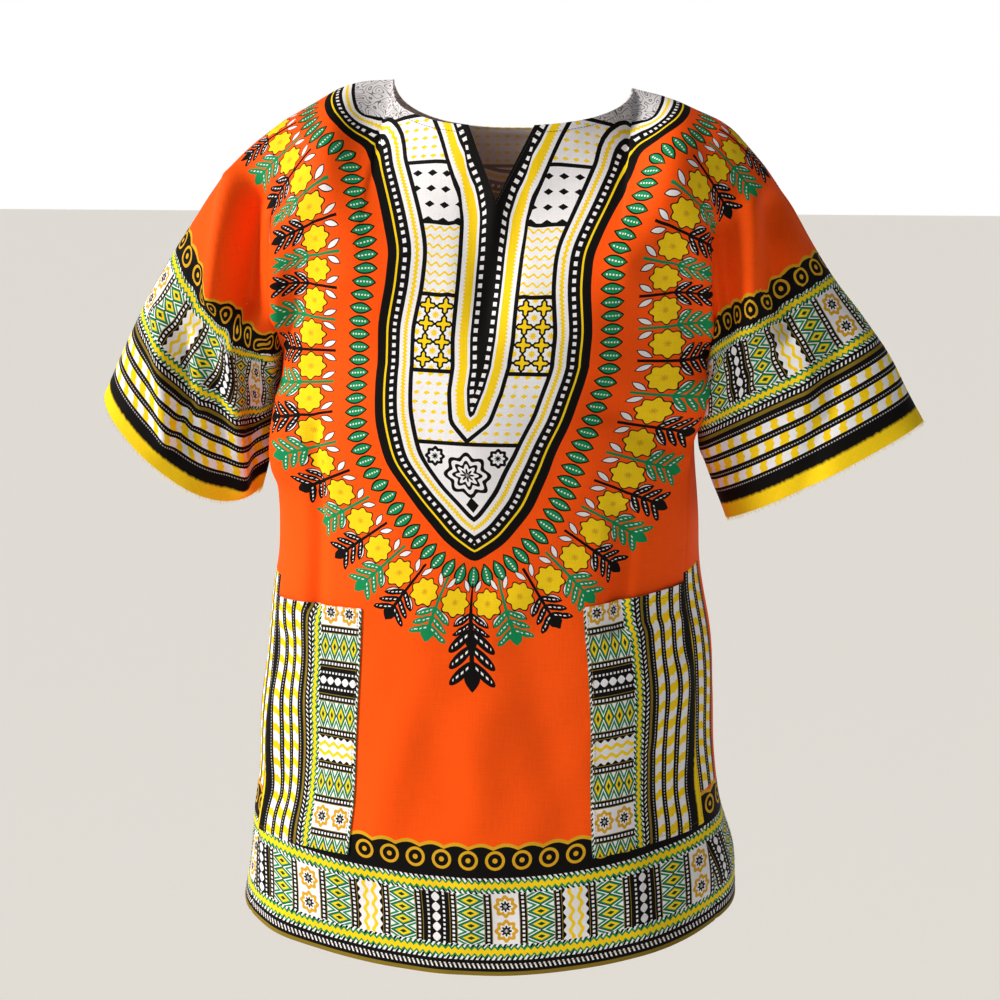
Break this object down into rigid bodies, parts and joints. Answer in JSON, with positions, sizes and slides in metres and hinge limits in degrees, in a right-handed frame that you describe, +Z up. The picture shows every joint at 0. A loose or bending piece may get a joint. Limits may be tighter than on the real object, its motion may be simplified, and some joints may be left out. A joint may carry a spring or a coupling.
{
  "type": "printed dashiki tunic in worn form",
  "caption": "Hip-length printed cotton tunic with short wide sleeves, a round neck with a V slit, and patch pockets, standing open and hollow as worn.",
  "frame": {"origin": "on the centre line between the two neck points, at the height of the shoulder's highest points, where the wearer's shoulders hold the tunic up", "axes": "+Z up along the wearer's body, -Y out of the front, +X towards the wearer's left"},
  "size_m": [0.81, 0.308, 0.8521],
  "materials": {
    "printed_cotton": "plain-woven cotton, wax printed in orange, black, white, yellow and green, with a faint sheen",
    "border_cotton": "plain-woven cotton, border printed in yellow, black, white and green",
    "sewing_thread": "spun polyester sewing thread"
  },
  "bodies": {
    "root": {"front": "printed_cotton", "back": "printed_cotton", "pocket_right": "border_cotton", "pocket_left": "border_cotton"}
  },
  "joints": []
}
